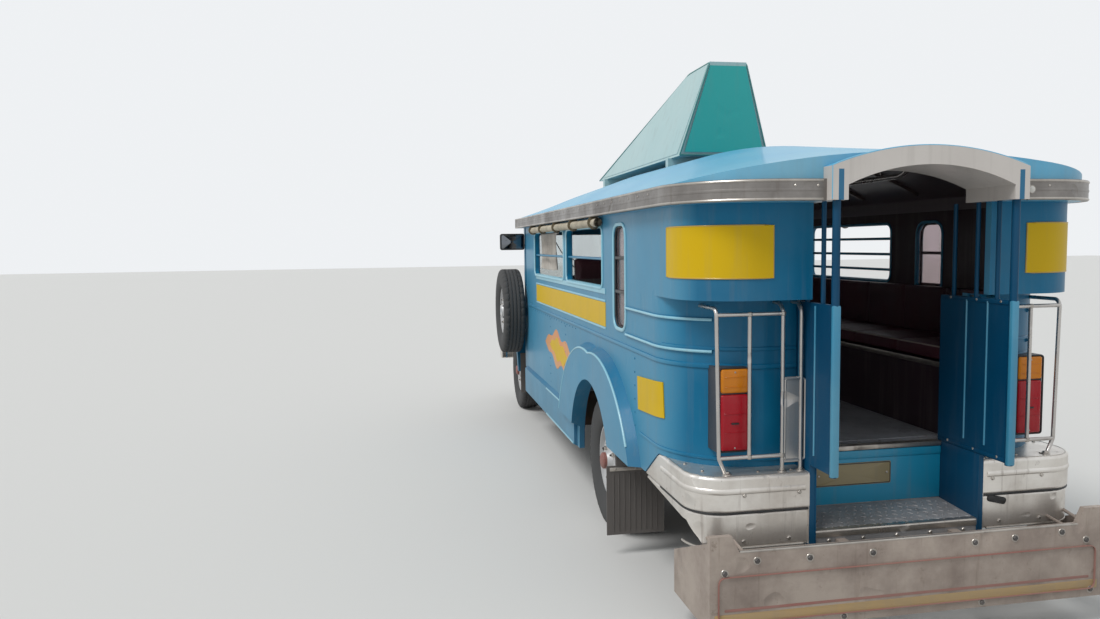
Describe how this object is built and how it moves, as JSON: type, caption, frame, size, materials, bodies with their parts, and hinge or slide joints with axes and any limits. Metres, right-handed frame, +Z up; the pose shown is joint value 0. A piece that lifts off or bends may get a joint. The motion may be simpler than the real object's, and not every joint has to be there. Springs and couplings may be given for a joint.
{
  "type": "jeepney",
  "caption": "Long-bodied passenger jeepney with side benches, open rear entry, steering front wheels, lifting hood and a side-hung spare wheel.",
  "frame": {"origin": "on the ground under the middle of the vehicle", "axes": "+X forward, +Y to the vehicle's left, +Z up"},
  "size_m": [6.01, 2.18, 2.67],
  "materials": {
    "chassis_paint": "satin",
    "body_blue": "gloss",
    "engine_grey": "rough",
    "exhaust_steel": "dull",
    "floor_metal": "worn",
    "bright_steel": "worn",
    "board_metal": "weathered",
    "glass_clear": "clear",
    "lamp_lens": "gloss",
    "headlamp_glass": "gloss",
    "seat_cover": "worn",
    "seat_frame": "matt",
    "dash_black": "matt",
    "flap_rubber": "dusty",
    "tyre_rubber": "dusty",
    "wheel_steel": "worn",
    "sign_panel": "satin",
    "canvas": "faded"
  },
  "bodies": {
    "jeepney_body": {"chassis_frame": "chassis_paint", "leaf_springs": "chassis_paint", "rear_axle": "chassis_paint", "front_axle": "chassis_paint", "engine_block": "engine_grey", "propeller_shaft": "chassis_paint", "exhaust": "exhaust_steel", "fuel_tank": "chassis_paint", "body_side_left": "body_blue", "body_side_right": "body_blue", "floor_deck": "floor_metal", "entry_step": "floor_metal", "entry_wing_left": "body_blue", "entry_wing_right": "body_blue", "roof_shell": "body_blue", "rear_arch": "body_blue", "roof_band": "bright_steel", "rear_bumper_left": "bright_steel", "rear_bumper_right": "bright_steel", "rear_board": "board_metal", "cowl": "body_blue", "windshield_glass": "glass_clear", "side_glass": "glass_clear", "front_fender_left": "body_blue", "front_fender_right": "body_blue", "grille": "bright_steel", "headlamps": "headlamp_glass", "front_bumper": "bright_steel", "bench_frames": "body_blue", "bench_cushions": "seat_cover", "bench_backrests": "seat_cover", "cab_seat_frames": "seat_frame", "cab_seats": "seat_cover", "dashboard": "dash_black", "tail_lamps": "lamp_lens", "lamp_guards": "bright_steel", "window_bars": "body_blue", "mirrors": "dash_black", "mud_flaps": "flap_rubber", "spare_tyre": "tyre_rubber", "spare_rim": "wheel_steel", "roof_sign": "sign_panel", "curtain_rolls": "canvas", "door_hinges": "body_blue"},
    "steering_knuckle_left": {"knuckle_left": "chassis_paint"},
    "steering_knuckle_right": {"knuckle_right": "chassis_paint"},
    "steering_handwheel": {"steering_wheel": "dash_black"},
    "hood_lid": {"hood": "body_blue"},
    "cab_door_leaf": {"cab_door": "body_blue"},
    "wheel_front_left": {"tyre_front_left": "tyre_rubber", "rim_front_left": "wheel_steel"},
    "wheel_front_right": {"tyre_front_right": "tyre_rubber", "rim_front_right": "wheel_steel"},
    "wheel_rear_left": {"tyre_rear_left": "tyre_rubber", "rim_rear_left": "wheel_steel"},
    "wheel_rear_right": {"tyre_rear_right": "tyre_rubber", "rim_rear_right": "wheel_steel"}
  },
  "joints": [
    {"name": "steer_left", "type": "hinge", "parent": "jeepney_body", "child": "steering_knuckle_left", "pos_m": [2.275, 0.62, 0.37], "axis": [0, 0, 1], "range_deg": [-32, 32]},
    {"name": "steer_right", "type": "hinge", "parent": "jeepney_body", "child": "steering_knuckle_right", "pos_m": [2.275, -0.62, 0.37], "axis": [0, 0, 1], "range_deg": [-32, 32]},
    {"name": "steering_wheel_turn", "type": "hinge", "parent": "jeepney_body", "child": "steering_handwheel", "pos_m": [0.935, 0.4, 1.19], "axis": [-0.7194, 0, 0.6946], "range_deg": [-480, 480]},
    {"name": "spin_front_left", "type": "hinge", "parent": "steering_knuckle_left", "child": "wheel_front_left", "pos_m": [2.275, 0.73, 0.37], "axis": [0, 1, 0], "continuous": true},
    {"name": "spin_front_right", "type": "hinge", "parent": "steering_knuckle_right", "child": "wheel_front_right", "pos_m": [2.275, -0.73, 0.37], "axis": [0, 1, 0], "continuous": true},
    {"name": "spin_rear_left", "type": "hinge", "parent": "jeepney_body", "child": "wheel_rear_left", "pos_m": [-1.275, 0.748, 0.37], "axis": [0, 1, 0], "continuous": true},
    {"name": "spin_rear_right", "type": "hinge", "parent": "jeepney_body", "child": "wheel_rear_right", "pos_m": [-1.275, -0.748, 0.37], "axis": [0, 1, 0], "continuous": true},
    {"name": "hood_lift", "type": "hinge", "parent": "jeepney_body", "child": "hood_lid", "pos_m": [1.387, 0, 1.256], "axis": [0, -1, 0], "range_deg": [0, 55]},
    {"name": "cab_door_swing", "type": "hinge", "parent": "jeepney_body", "child": "cab_door_leaf", "pos_m": [1.131, -0.887, 0.9], "axis": [0, 0, 1], "range_deg": [0, 70]}
  ],
  "couplings": [
    {"joint": "steer_right", "follows": "steer_left", "ratio": 1},
    {"joint": "steering_wheel_turn", "follows": "steer_left", "ratio": 15}
  ]
}
